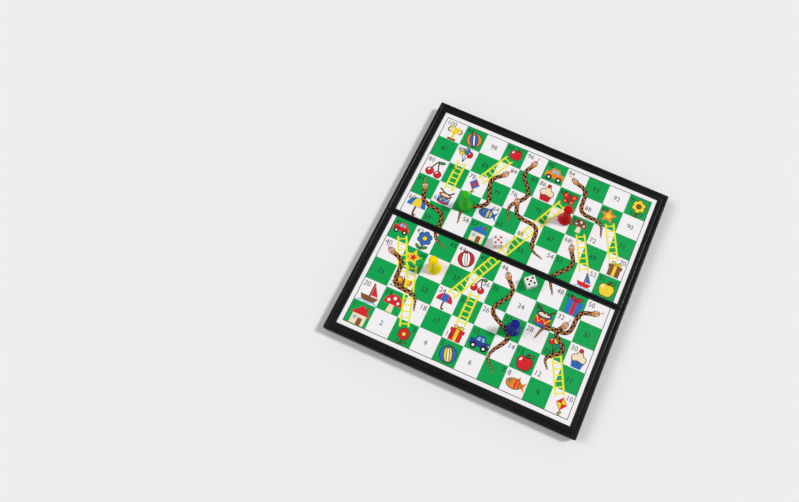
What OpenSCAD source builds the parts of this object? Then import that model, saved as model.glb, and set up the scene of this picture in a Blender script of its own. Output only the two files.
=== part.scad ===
// Folding magnetic snakes and ladders board with four pawns and two dice
// Millimetres. The open board lies in the XY plane, +Z up, and folds about X.
// The near half is at -Y and the far half at +Y. The origin is on the resting plane.

/* [Playing grid] */
// Side of one square of the grid
cell = 21.5; // [18:0.5:26]
// Plain margin between the grid and the frame
margin = 4.3; // [2:0.1:6]

/* [Case] */
// Height of one half of the case
case_h = 14; // [12:0.5:24]
// Width of the frame along the three outer sides of a half
border = 9; // [8:0.1:12]
// Width of the frame beside the fold, on each half
hinge_border = 2.8; // [2.4:0.1:4]
// Gap between the halves when the board is open
seam_gap = 0.4; // [0.2:0.1:1]
// Thickness of the outer walls
wall = 2.4; // [2:0.1:3.2]
// Thickness of the two walls beside the fold
hinge_wall = 2.0; // [1.6:0.1:2.4]
// Thickness of the panel under the playing sheet
panel_t = 1.6; // [1.2:0.1:2.4]
// Outer corner radius of the case in plan
corner_r = 1.6; // [0.8:0.1:3]

/* [Frame moulding] */
// Width of the low outer ledge of the frame
ledge_w = 3.4; // [2.6:0.1:4]
// Drop from the top of the frame to the ledge
ledge_drop = 0.9; // [0.6:0.1:1.4]
// Rounding of the ledge's edges
ledge_r = 0.8; // [0.4:0.1:1.2]
// Width of the groove between the ledge and the raised band
groove_w = 1.2; // [0.8:0.1:1.8]
// Depth of the groove below the ledge
groove_depth = 0.9; // [0.4:0.1:1]
// Rounding of the raised band's edges
band_r = 0.6; // [0.3:0.1:0.9]
// Rounding of the frame's edges along the fold
seam_r = 0.7; // [0.3:0.1:1]

/* [Lap joint] */
// Clearance between the two lips when the case is shut
lip_clearance = 0.3; // [0.2:0.05:0.5]
// Gap left between the rims when the case is shut
rim_gap = 0.1; // [0.05:0.05:0.3]
// Width of the thumb notch in the far rim
notch_w = 26; // [18:1:40]
// Height of the thumb notch
notch_h = 2.4; // [1.6:0.1:3]

/* [Hinge] */
// Outer radius of a hinge knuckle
knuckle_r = 1.9; // [1.7:0.1:2.4]
// Length of one hinge knuckle
knuckle_len = 8; // [6:0.5:12]
// Gap between neighbouring knuckles
knuckle_gap = 0.3; // [0.2:0.05:0.6]
// Radius of a hinge pin
pin_r = 0.75; // [0.6:0.05:0.9]
// Radial clearance of a hinge pin in its knuckles
pin_clearance = 0.05; // [0.02:0.01:0.1]
// Distance of each hinge from the middle of the fold
hinge_x = 70; // [40:1:85]
// Height of the fold walls' lower edge above the hinge axis
hinge_wall_lift = 0.9; // [0.6:0.1:1.2]

/* [Plate and sheet] */
// Thickness of a steel plate
plate_t = 0.4; // [0.3:0.05:0.6]
// Gap between a steel plate and its recess
plate_clearance = 0.3; // [0.1:0.05:0.6]
// Thickness of a printed sheet
sheet_t = 0.3; // [0.2:0.05:0.5]
// Gap between a printed sheet and its recess
sheet_clearance = 0.15; // [0.05:0.05:0.4]
// Drop from the top of the frame to the printed sheet
sheet_drop = 0.8; // [0.4:0.1:1.4]
// Room for the ink between a sheet and what stands on it
ink_room = 0.1; // [0.05:0.05:0.2]

/* [Stiffening ribs] */
// Width of a rib under a panel
rib_w = 1.2; // [0.8:0.1:2]
// Height of a rib under a panel
rib_h = 1.4; // [0.8:0.1:2.4]

/* [Pawns] */
// Height of a pawn
pawn_h = 29; // [24:0.5:34]
// Radius of a pawn's foot
foot_r = 6.6; // [6.4:0.1:8.5]
// Height of a pawn's rounded foot
foot_h = 4.4; // [3:0.1:5]
// Radius of a pawn's neck
neck_r = 3.2; // [2.4:0.1:3.5]
// Radius of a pawn's ball head
head_r = 4.3; // [3.8:0.1:5]
// Fillet radius between the neck and the head
neck_fillet_r = 1.5; // [0.8:0.1:2.2]
// Radius of a pawn's magnet
magnet_r = 4; // [3:0.1:4.6]
// Thickness of a pawn's magnet
magnet_t = 2; // [1.2:0.1:2.4]
// Gap round a magnet in its pocket
magnet_clearance = 0.05; // [0.02:0.01:0.2]

/* [Dice] */
// Edge length of a die
die_edge = 10; // [8:0.5:14]
// Rounding of a die's edges
die_edge_r = 1.1; // [0.6:0.1:1.6]
// Radius of the sphere that takes off a die's corners
die_corner_sphere_r = 7.9; // [7.5:0.1:8.6]
// Radius of a pip at the face
pip_r = 1.15; // [0.6:0.05:1.2]
// Depth of a pip's dimple
pip_depth = 0.5; // [0.45:0.05:0.7]
// Depth of the paint in the bottom of a dimple
pip_paint = 0.4; // [0.1:0.05:0.45]
// Distance of the outer pips from the middle of a face
pip_pitch = 2.5; // [2.4:0.05:2.6]

/* [Hidden] */
$fn = 64;
columns = 10;
rows_per_half = 5;
overrun = 1;

grid_w = columns * cell;
grid_half_d = rows_per_half * cell;
recess_half_w = grid_w / 2 + margin;
case_half_w = recess_half_w + border;
seam_half = seam_gap / 2;
recess_near = seam_half + hinge_border;
recess_far = recess_near + grid_half_d + margin;
half_depth = recess_far + border;
band_u = ledge_w + groove_w;

recess_depth = sheet_drop + sheet_t + plate_t;
recess_z = case_h - recess_depth;
panel_z = recess_z - panel_t;
ledge_z = case_h - ledge_drop;
groove_z = ledge_z - groove_depth;
plate_z = recess_z;
sheet_z = plate_z + plate_t;
stand_z = sheet_z + sheet_t + ink_room;

hinge_z = knuckle_r;
lap = 2 * hinge_z + rim_gap;
lip = (wall - lip_clearance) / 2;
hinge_wall_z = hinge_z + hinge_wall_lift;
bore_r = pin_r + pin_clearance;
knuckle_pitch = knuckle_len + knuckle_gap;
pin_len = 3 * knuckle_len + 2 * knuckle_gap;

// Ribs under each panel stand at these shares of the half width
rib_shares = [-0.5, 0, 0.5];

// Places on the grid, as shares of a square from its left edge and from the near end
green_place_shares = [2.49, 6.4];
red_place_shares = [6.72, 7.61];
yellow_place_shares = [2.49, 3.53];
blue_place_shares = [6.58, 2.48];
red_die_place_shares = [4.49, 5.39];
black_die_place_shares = [6.46, 4.57];
red_die_turn = 24;
black_die_turn = 41;

TOP = [0, 0, 0];
BOTTOM = [180, 0, 0];
FRONT = [90, 0, 0];
BACK = [-90, 0, 0];
RIGHT = [0, 90, 0];
LEFT = [0, -90, 0];
red_die_faces = [[5, TOP], [2, BOTTOM], [4, FRONT], [3, BACK], [1, RIGHT], [6, LEFT]];
black_die_faces = [[5, TOP], [2, BOTTOM], [1, FRONT], [6, BACK], [3, RIGHT], [4, LEFT]];

// X on the board of a place given in squares
function board_x(place) = (place[0] - columns / 2) * cell;

// Y on the board of a place given in squares, past the frame beside the fold
function board_y(place) =
    (place[1] - rows_per_half) * cell + (place[1] < rows_per_half ? -recess_near : recess_near);

// Where the pips of one face lie, in pitches from its middle
function pip_places(count) = concat(
    count % 2 == 1 ? [[0, 0]] : [],
    count >= 2 ? [[-1, 1], [1, -1]] : [],
    count >= 4 ? [[1, 1], [-1, -1]] : [],
    count == 6 ? [[-1, 0], [1, 0]] : []
);

// Sphere radius of a shallow cap with the given rim radius and depth
function cap_sphere_r(rim_r, depth) = (rim_r * rim_r + depth * depth) / (2 * depth);

// Half of the case, drawn as the near half

// Bar of the frame's section from one width to another, rounded at both top edges
module rounded_bar(start, end, top_z, radius) {
    translate([start, panel_z])
        square([end - start, top_z - radius - panel_z]);
    translate([start + radius, panel_z])
        square([end - start - 2 * radius, top_z - panel_z]);
    for (u = [start + radius, end - radius])
        translate([u, top_z - radius])
            circle(radius);
}

// Section of the frame and wall, from its outer face inwards
module frame_section(lip_inside) {
    translate([0, lap])
        square([wall, ledge_z - ledge_r - lap]);
    translate([lip_inside ? wall - lip : 0, 0])
        square([lip, lap + lip]);
    translate([0, panel_z])
        square([border, groove_z - panel_z]);
    rounded_bar(0, ledge_w, ledge_z, ledge_r);
    rounded_bar(band_u, border, case_h, band_r);
}

// Frame and wall along the left side, mitred at the corner
module side_bar(lip_inside) {
    intersection() {
        translate([-case_half_w, -seam_half, 0])
            rotate([90, 0, 0])
                linear_extrude(half_depth - seam_half)
                    frame_section(lip_inside);
        mitre_prism([
            [-overrun, half_depth + overrun], [-overrun, -overrun],
            [border + overrun, border + overrun], [border + overrun, half_depth + overrun]
        ]);
    }
}

// Frame and wall along the near end, mitred at both corners
module end_bar(lip_inside) {
    far_u = 2 * case_half_w;
    intersection() {
        translate([-case_half_w, -half_depth, 0])
            rotate([90, 0, 90])
                linear_extrude(far_u)
                    frame_section(lip_inside);
        mitre_prism([
            [-overrun, -overrun], [far_u + overrun, -overrun],
            [far_u - border - overrun, border + overrun], [border + overrun, border + overrun]
        ]);
    }
}

// Upright prism over points that are given from the left corner of the case
module mitre_prism(points) {
    translate([-case_half_w, -half_depth, -overrun])
        linear_extrude(case_h + 2 * overrun)
            polygon(points);
}

// What rounds an upright edge at the origin takes off, with the solid towards +X and +Y
module upright_edge_cut(radius) {
    translate([0, 0, -overrun])
        linear_extrude(case_h + 2 * overrun)
            difference() {
                translate([-overrun, -overrun])
                    square(radius + overrun);
                translate([radius, radius])
                    circle(radius);
            }
}

// Rounding of the left outer corner, over the whole height
module corner_rounding() {
    translate([-case_half_w, -half_depth, 0])
        upright_edge_cut(corner_r);
}

// Wall and narrow frame beside the fold
module hinge_bar() {
    translate([wall / 2 - case_half_w, -seam_half - hinge_wall, hinge_wall_z])
        cube([2 * case_half_w - wall, hinge_wall, ledge_z - ledge_r - hinge_wall_z]);
    translate([band_u + 2 * band_r - case_half_w, -seam_half, 0])
        rotate([90, 0, 90])
            linear_extrude(2 * (case_half_w - band_u - 2 * band_r))
                mirror([1, 0]) {
                    translate([0, panel_z])
                        square([hinge_border, case_h - band_r - panel_z]);
                    translate([0, panel_z])
                        square([hinge_border - band_r, case_h - panel_z]);
                    translate([hinge_border - band_r, case_h - band_r])
                        circle(band_r);
                }
}

// Panel under the plate, let into the frame all round
module panel() {
    translate([-recess_half_w - band_r, -recess_far - band_r, panel_z])
        cube([2 * (recess_half_w + band_r), recess_far - recess_near + 2 * band_r, panel_t]);
}

// Ribs that stiffen the panel from below
module ribs() {
    rib_near = seam_half + hinge_wall / 2;
    rib_far = half_depth - wall / 2;
    for (share = rib_shares)
        translate([share * case_half_w - rib_w / 2, -rib_far, panel_z - rib_h])
            cube([rib_w, rib_far - rib_near, rib_h + panel_t / 2]);
    translate([wall / 2 - case_half_w, -(rib_near + rib_far + rib_w) / 2, panel_z - rib_h])
        cube([2 * case_half_w - wall, rib_w, rib_h + panel_t / 2]);
}

// What rounds a top edge along the fold takes off, over a length along X
module seam_edge_cut(start_x, length, top_z) {
    translate([start_x, -seam_half, top_z])
        rotate([90, 0, 90])
            linear_extrude(length)
                translate([-seam_r, -seam_r])
                    difference() {
                        square(seam_r + overrun);
                        circle(seam_r);
                    }
}

// Rounding of all the frame's edges at the fold
module seam_rounding() {
    seam_edge_cut(-case_half_w - overrun, 2 * (case_half_w + overrun), case_h);
    for (side = [0, 1])
        mirror([side, 0, 0]) {
            seam_edge_cut(-case_half_w - overrun, ledge_w + overrun, ledge_z);
            translate([-case_half_w, -seam_half, 0])
                mirror([0, 1, 0])
                    upright_edge_cut(seam_r);
        }
}

// Knuckles at the given steps from the middle of each hinge, with their webs
module knuckles(steps) {
    for (side = [-1, 1], step = steps)
        translate([side * hinge_x + step * knuckle_pitch - knuckle_len / 2, 0, hinge_z]) {
            rotate([0, 90, 0])
                cylinder(r = knuckle_r, h = knuckle_len);
            translate([0, -seam_half - hinge_wall, 0])
                cube([knuckle_len, hinge_wall, hinge_wall_lift + hinge_wall]);
        }
}

// Room for the other half's knuckles at the given steps
module knuckle_room(steps) {
    for (side = [-1, 1], step = steps)
        translate([side * hinge_x + step * knuckle_pitch - knuckle_len / 2 - knuckle_gap, 0, hinge_z])
            rotate([0, 90, 0])
                cylinder(r = knuckle_r + knuckle_gap, h = knuckle_len + 2 * knuckle_gap);
}

// Bores for the two hinge pins, through every knuckle
module pin_bores() {
    for (side = [-1, 1])
        translate([side * hinge_x - pin_len / 2 - overrun, 0, hinge_z])
            rotate([0, 90, 0])
                cylinder(r = bore_r, h = pin_len + 2 * overrun);
}

// Relief in an inner lip beside the fold, where the other half's fold wall comes when shut
module lip_relief() {
    relief_d = hinge_wall + lip_clearance;
    relief_h = 2 * hinge_z - hinge_wall_z + lip_clearance;
    for (side = [0, 1])
        mirror([side, 0, 0])
            translate([-case_half_w, -seam_half - relief_d, -overrun])
                cube([wall + overrun, relief_d + overrun, relief_h + overrun]);
}

// One half of the case, with its own knuckles and room for the others
module half_case(lip_inside, own_steps, other_steps) {
    difference() {
        union() {
            difference() {
                union() {
                    for (side = [0, 1])
                        mirror([side, 0, 0])
                            side_bar(lip_inside);
                    end_bar(lip_inside);
                    hinge_bar();
                    panel();
                    ribs();
                }
                for (side = [0, 1])
                    mirror([side, 0, 0])
                        corner_rounding();
                seam_rounding();
                knuckle_room(other_steps);
                if (lip_inside)
                    lip_relief();
            }
            knuckles(own_steps);
        }
        pin_bores();
    }
}

// Near half of the case, whose lip is on the inside
module lower_case() {
    color("#1c1c1e")
        half_case(true, [-1, 1], [0]);
}

// Far half of the case, whose lip is on the outside and has the thumb notch
module upper_case() {
    notch_r = cap_sphere_r(notch_w / 2, notch_h);
    color("#1c1c1e")
        mirror([0, 1, 0])
            difference() {
                half_case(false, [0], [-1, 1]);
                translate([0, wall - half_depth, notch_h - notch_r])
                    rotate([90, 0, 0])
                        cylinder(r = notch_r, h = wall + overrun);
            }
}

// Plates and sheets

// Flat layer that fills the near half's recess but for a gap all round
module recess_layer(gap, base_z, thick) {
    translate([gap - recess_half_w, gap - recess_far, base_z])
        cube([2 * (recess_half_w - gap), recess_far - recess_near - 2 * gap, thick]);
}

module lower_steel_plate() {
    color("silver")
        recess_layer(plate_clearance, plate_z, plate_t);
}

module upper_steel_plate() {
    color("silver")
        mirror([0, 1, 0])
            recess_layer(plate_clearance, plate_z, plate_t);
}

module lower_play_sheet() {
    color("#18a558")
        recess_layer(sheet_clearance, sheet_z, sheet_t);
}

module upper_play_sheet() {
    color("#18a558")
        mirror([0, 1, 0])
            recess_layer(sheet_clearance, sheet_z, sheet_t);
}

// Hinge pins

// Steel pin through the three knuckles of one hinge
module hinge_pin(side) {
    color("lightgray")
        translate([side * hinge_x - pin_len / 2, 0, hinge_z])
            rotate([0, 90, 0])
                cylinder(r = pin_r, h = pin_len);
}

module left_hinge_pin() {
    hinge_pin(-1);
}

module right_hinge_pin() {
    hinge_pin(1);
}

// Pawns

// Moves a piece from the origin to its place on the playing sheet
module stand(place, turn = 0) {
    translate([board_x(place), board_y(place), stand_z])
        rotate([0, 0, turn])
            children();
}

// Half section of a pawn: rounded foot, hollow flare that runs into it, neck and ball head
module pawn_section() {
    head_z = pawn_h - head_r;
    foot_edge_r = foot_h / 2;
    foot_x = foot_r - foot_edge_r;
    fillet_z = head_z - sqrt(pow(head_r + neck_fillet_r, 2) - pow(neck_r + neck_fillet_r, 2));
    flare_h = fillet_z - foot_edge_r;
    hollow_r = (pow(neck_r - foot_x, 2) + flare_h * flare_h - foot_edge_r * foot_edge_r)
        / (2 * (foot_r - neck_r));

    square([foot_x, foot_h]);
    translate([foot_x, foot_edge_r])
        circle(foot_edge_r);
    difference() {
        polygon([
            [0, foot_edge_r], [foot_x, foot_edge_r],
            [neck_r + hollow_r, fillet_z], [0, fillet_z]
        ]);
        translate([neck_r + hollow_r, fillet_z])
            circle(hollow_r);
    }
    difference() {
        polygon([[0, fillet_z], [neck_r + neck_fillet_r, fillet_z], [0, head_z]]);
        translate([neck_r + neck_fillet_r, fillet_z])
            circle(neck_fillet_r);
    }
    intersection() {
        translate([0, head_z])
            circle(head_r);
        translate([0, head_z - head_r])
            square([head_r, 2 * head_r]);
    }
}

// Pawn with a pocket for its magnet in the foot
module pawn() {
    difference() {
        rotate_extrude()
            intersection() {
                pawn_section();
                square([foot_r, pawn_h]);
            }
        translate([0, 0, -overrun])
            cylinder(r = magnet_r + magnet_clearance, h = magnet_t + overrun);
    }
}

// Disc magnet, flush with the bottom of the foot
module magnet() {
    color("dimgray")
        cylinder(r = magnet_r, h = magnet_t);
}

module green_pawn() {
    color("#2db233")
        stand(green_place_shares) pawn();
}

module green_pawn_magnet() {
    stand(green_place_shares) magnet();
}

module red_pawn() {
    color("#e01b22")
        stand(red_place_shares) pawn();
}

module red_pawn_magnet() {
    stand(red_place_shares) magnet();
}

module yellow_pawn() {
    color("#ffe100")
        stand(yellow_place_shares) pawn();
}

module yellow_pawn_magnet() {
    stand(yellow_place_shares) magnet();
}

module blue_pawn() {
    color("#1f2f96")
        stand(blue_place_shares) pawn();
}

module blue_pawn_magnet() {
    stand(blue_place_shares) magnet();
}

// Dice

// Square with rounded corners, about the origin
module rounded_square(edge, radius) {
    for (size = [[edge, edge - 2 * radius], [edge - 2 * radius, edge]])
        square(size, center = true);
    for (x = [-1, 1], y = [-1, 1])
        translate([x, y] * (edge / 2 - radius))
            circle(radius);
}

// Die without its dimples, about its own middle
module die_blank() {
    intersection() {
        intersection_for (turn = [TOP, FRONT, RIGHT])
            rotate(turn)
                linear_extrude(die_edge, center = true)
                    rounded_square(die_edge, die_edge_r);
        sphere(die_corner_sphere_r);
    }
}

// Puts a copy of its children at each pip, with the pip's face at Z zero
module at_each_pip(faces) {
    for (face = faces)
        rotate(face[1])
            for (place = pip_places(face[0]))
                translate([place[0] * pip_pitch, place[1] * pip_pitch, die_edge / 2])
                    children();
}

// Sphere that sinks into a face by the depth of a pip
module pip_sphere() {
    pip_sphere_r = cap_sphere_r(pip_r, pip_depth);
    translate([0, 0, pip_sphere_r - pip_depth])
        sphere(pip_sphere_r);
}

// Die with a dimple for every pip
module die(faces) {
    translate([0, 0, die_edge / 2])
        difference() {
            die_blank();
            at_each_pip(faces)
                pip_sphere();
        }
}

// Paint in the bottom of every dimple
module pips(faces) {
    translate([0, 0, die_edge / 2])
        at_each_pip(faces)
            intersection() {
                pip_sphere();
                translate([0, 0, -pip_depth])
                    cylinder(r = pip_r, h = pip_paint);
            }
}

module red_pip_die() {
    color("white")
        stand(red_die_place_shares, red_die_turn) die(red_die_faces);
}

module red_die_pips() {
    color("crimson")
        stand(red_die_place_shares, red_die_turn) pips(red_die_faces);
}

module black_pip_die() {
    color("white")
        stand(black_die_place_shares, black_die_turn) die(black_die_faces);
}

module black_die_pips() {
    color("black")
        stand(black_die_place_shares, black_die_turn) pips(black_die_faces);
}

lower_case();
upper_case();
lower_steel_plate();
upper_steel_plate();
lower_play_sheet();
upper_play_sheet();
left_hinge_pin();
right_hinge_pin();
green_pawn();
green_pawn_magnet();
red_pawn();
red_pawn_magnet();
yellow_pawn();
yellow_pawn_magnet();
blue_pawn();
blue_pawn_magnet();
red_pip_die();
red_die_pips();
black_pip_die();
black_die_pips();
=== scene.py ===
"""Looks of a folding magnetic snakes and ladders board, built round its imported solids."""
import logging
import math
from collections.abc import Sequence
from dataclasses import dataclass
from enum import Enum
from typing import Protocol

import bmesh
import bpy
from mathutils import Matrix, Vector
from mathutils.bvhtree import BVHTree
from mathutils.geometry import delaunay_2d_cdt, interpolate_bezier


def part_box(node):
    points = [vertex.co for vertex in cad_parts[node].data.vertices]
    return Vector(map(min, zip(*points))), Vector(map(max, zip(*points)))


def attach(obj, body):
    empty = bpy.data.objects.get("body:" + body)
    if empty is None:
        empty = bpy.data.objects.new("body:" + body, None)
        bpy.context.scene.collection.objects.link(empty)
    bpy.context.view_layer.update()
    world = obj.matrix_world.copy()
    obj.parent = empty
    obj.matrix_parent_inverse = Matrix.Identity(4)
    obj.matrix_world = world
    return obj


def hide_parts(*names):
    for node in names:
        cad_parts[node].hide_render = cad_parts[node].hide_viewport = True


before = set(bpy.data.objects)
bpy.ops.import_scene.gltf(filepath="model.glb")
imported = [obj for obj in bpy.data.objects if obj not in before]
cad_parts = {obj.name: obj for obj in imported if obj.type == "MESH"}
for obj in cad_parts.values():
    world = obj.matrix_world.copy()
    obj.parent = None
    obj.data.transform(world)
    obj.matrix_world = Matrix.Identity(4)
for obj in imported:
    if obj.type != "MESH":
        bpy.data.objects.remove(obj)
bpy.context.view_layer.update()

LOG = logging.getLogger("board")
MM = 0.001
MICRON = 0.001 * MM
INK_LAYER = "ink"
ARC_STEPS = 10
UNSTRETCHED = (1.0, 1.0, 1.0)
Point = tuple[float, float]
Colour = tuple[float, float, float]


def add_object(name: str, mesh: bmesh.types.BMesh, material: bpy.types.Material) -> bpy.types.Object:
    """Turns a finished mesh into an object at the origin.

    Args:
        name: The object's name.
        mesh: Its mesh, which is used up.
        material: Its finish.

    Returns:
        The object.
    """
    data = bpy.data.meshes.new(name)
    mesh.to_mesh(data)
    mesh.free()
    data.materials.append(material)
    piece = bpy.data.objects.new(name, data)
    bpy.context.scene.collection.objects.link(piece)
    LOG.info("%s: %d faces", name, len(data.polygons))
    return piece


def linear(code: str) -> Colour:
    """Turns a colour code into linear red, green and blue.

    Args:
        code: A hash sign and six hexadecimal digits.

    Returns:
        The three linear values.
    """
    parts = [int(code[start:start + 2], 16) / 255 for start in (1, 3, 5)]
    return tuple(p / 12.92 if p <= 0.04045 else ((p + 0.055) / 1.055) ** 2.4 for p in parts)


class Ink(Enum):
    """Printing inks of the two sheets, and the bare paper."""

    PAPER = "#f8f5f7"
    GREEN = "#00a550"
    BLACK = "#181716"
    OUTLINE = "#231a14"
    RED = "#d8232a"
    BLUE = "#2f6fbf"
    NAVY = "#27408f"
    SKY = "#8cc4e8"
    YELLOW = "#f6d832"
    ORANGE = "#ec8a2c"
    BROWN = "#8a5230"
    CREAM = "#f7e3c0"
    WHITE = "#fbfafa"
    LEAF = "#3f9a3c"
    LADDER = "#f2ec30"
    LADDER_EDGE = "#c2b81c"
    SNAKE = "#d08a48"
    SNAKE_SHADE = "#96562a"
    SNAKE_DARK = "#1f130b"

    @property
    def rgba(self) -> tuple[float, float, float, float]:
        """The ink's linear colour, opaque."""
        return (*linear(self.value), 1.0)


class Half(Enum):
    """The halves of the board, each with the sign of its side of the fold."""

    NEAR = -1
    FAR = 1

    @property
    def label(self) -> str:
        """The half's name as its pieces carry it."""
        return self.name.lower()

    @property
    def body(self) -> str:
        """The body that the half's sheet rides on."""
        return f"{self.label}_half"

    @property
    def sheet_node(self) -> str:
        """The solid of the half's sheet."""
        return "lower_play_sheet" if self is Half.NEAR else "upper_play_sheet"


@dataclass
class Board:
    """The grid of squares on the two printed sheets.

    Places on it are in squares from its left edge and from its near end.
    """

    columns: int = 10
    rows_per_half: int = 5
    margin: float = 4.15 * MM

    def __post_init__(self) -> None:
        """Reads where the sheets lie from the frame."""
        low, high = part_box("upper_play_sheet")
        self.cell = (high.x - low.x - 2 * self.margin) / self.columns
        self.half_width = self.columns * self.cell / 2
        self.far_end = high.y - self.margin
        self.fold_side = self.far_end - self.rows_per_half * self.cell
        self.top = high.z

    def spot(self, u: float, v: float) -> Vector:
        """Finds a place on the sheets.

        Args:
            u: Squares from the left edge.
            v: Squares from the near end.

        Returns:
            The place in metres, in the plane of the sheets.
        """
        past_fold = v - self.rows_per_half
        y = past_fold * self.cell + math.copysign(self.fold_side, past_fold)
        return Vector(((u - self.columns / 2) * self.cell, y))

    def square(self, number: int) -> Point:
        """Finds the middle of a numbered square, on the path that turns at each row's end.

        Args:
            number: The square's number, from 1.

        Returns:
            Its middle, in squares.
        """
        row, step = divmod(number - 1, self.columns)
        column = step if row % 2 == 0 else self.columns - 1 - step
        return column + 0.5, row + 0.5

    @property
    def count(self) -> int:
        """How many squares the two halves have."""
        return 2 * self.columns * self.rows_per_half

    def half_of(self, number: int) -> Half:
        """Tells which half a numbered square is on."""
        return Half.NEAR if number <= self.count / 2 else Half.FAR


class Part(Protocol):
    """A flat shape that can be drawn with a strip trimmed off all round."""

    def draw(self, mesh: bmesh.types.BMesh, trim: float) -> None:
        """Adds the shape's faces to an empty mesh."""


@dataclass(frozen=True)
class Disc:
    """A round or oval patch, stretched along a direction given in degrees."""

    x: float
    y: float
    radius: float
    stretch: float = 1.0
    turn: float = 0.0
    segments: int = 24

    def draw(self, mesh: bmesh.types.BMesh, trim: float) -> None:
        """Adds the disc's face to an empty mesh.

        Args:
            mesh: The mesh that gets the face.
            trim: Width of the strip taken off all round.
        """
        across = self.radius - trim
        along = self.radius * self.stretch - trim
        place = Matrix.Translation((self.x, self.y, 0))
        place = place @ Matrix.Rotation(math.radians(self.turn), 4, "Z")
        place = place @ Matrix.Diagonal((along, across, 1, 1))
        bmesh.ops.create_circle(mesh, cap_ends=True, segments=self.segments, radius=1, matrix=place)


@dataclass(frozen=True)
class Patch:
    """A patch with straight sides and, where wanted, rounded corners."""

    points: Sequence[Point]
    rounding: float = 0.0
    segments: int = 3

    def draw(self, mesh: bmesh.types.BMesh, trim: float) -> None:
        """Adds the patch's face to an empty mesh.

        Args:
            mesh: The mesh that gets the face.
            trim: Width of the strip taken off all round.
        """
        mesh.faces.new([mesh.verts.new((x, y, 0)) for x, y in self.points])
        if trim:
            strip = bmesh.ops.inset_region(
                mesh, faces=mesh.faces[:], thickness=trim, use_boundary=True, use_even_offset=True,
            )
            bmesh.ops.delete(mesh, geom=strip["faces"], context="FACES")
        if self.rounding > trim:
            bmesh.ops.bevel(
                mesh, geom=mesh.verts[:], offset=self.rounding - trim, offset_type="OFFSET",
                segments=self.segments, profile=0.5, affect="VERTICES", material=-1,
            )


@dataclass(frozen=True)
class Band:
    """A band that follows a dense path, with a width at each of its points."""

    path: Sequence[Vector]
    widths: Sequence[float]
    least_share: float = 0.05

    def draw(self, mesh: bmesh.types.BMesh, trim: float) -> None:
        """Bends a flat strip along the path.

        Args:
            mesh: The empty mesh that gets the strip.
            trim: Width taken off both sides.
        """
        last = len(self.path) - 1
        bmesh.ops.create_grid(mesh, x_segments=last, y_segments=1, size=1)
        for vert in mesh.verts:
            step = round((vert.co.x + 1) / 2 * last)
            along = self.path[min(step + 1, last)] - self.path[max(step - 1, 0)]
            across = Vector((-along.y, along.x)).normalized()
            reach = max(self.widths[step] / 2 - trim, self.least_share * self.widths[step])
            vert.co = (self.path[step] + across * math.copysign(reach, vert.co.y)).to_3d()


def line(points: Sequence[Point], start: float, end: float, steps: int = 6) -> Band:
    """Draws a smooth line through a few points.

    Args:
        points: The points that the line runs through.
        start: Width at the first point.
        end: Width at the last point.
        steps: Short steps between two points.

    Returns:
        The band along the line.
    """
    knots = [Vector(p) for p in points]
    last = len(knots) - 1
    # A handle is a third of the slope, which is half the way between a knot's neighbours
    lean = [(knots[min(i + 1, last)] - knots[max(i - 1, 0)]) / 6 for i in range(last + 1)]
    path = [knots[0]]
    for i in range(last):
        bend = interpolate_bezier(
            knots[i].to_3d(), (knots[i] + lean[i]).to_3d(),
            (knots[i + 1] - lean[i + 1]).to_3d(), knots[i + 1].to_3d(), steps + 1,
        )
        path += [p.to_2d() for p in bend[1:]]
    widths = [start + (end - start) * i / (len(path) - 1) for i in range(len(path))]
    return Band(path, widths)


def arc(x: float, y: float, radius: float, start: float, end: float, rise: float = 1.0) -> list[Point]:
    """Finds points round part of a circle, or of an oval.

    Args:
        x: Middle of the circle across.
        y: Middle of the circle upwards.
        radius: Its radius across.
        start: First angle in degrees.
        end: Last angle in degrees.
        rise: Height of the oval as a share of its width.

    Returns:
        The points, in order.
    """
    turns = [math.radians(start + (end - start) * i / ARC_STEPS) for i in range(ARC_STEPS + 1)]
    return [(x + radius * math.cos(t), y + radius * rise * math.sin(t)) for t in turns]


def box(left: float, bottom: float, right: float, top: float, rounding: float = 0.0) -> Patch:
    """Makes an upright rectangle from its four sides."""
    return Patch(((left, bottom), (right, bottom), (right, top), (left, top)), rounding)


@dataclass(frozen=True)
class Blob:
    """Parts that join into one patch of ink, with one outline round them all.

    The width of the outline, called rim, is in the unit of the parts.
    """

    ink: Ink
    parts: Sequence[Part]
    rim: float = 0.026
    rim_ink: Ink = Ink.OUTLINE


Picture = tuple[Blob, ...]


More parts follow.
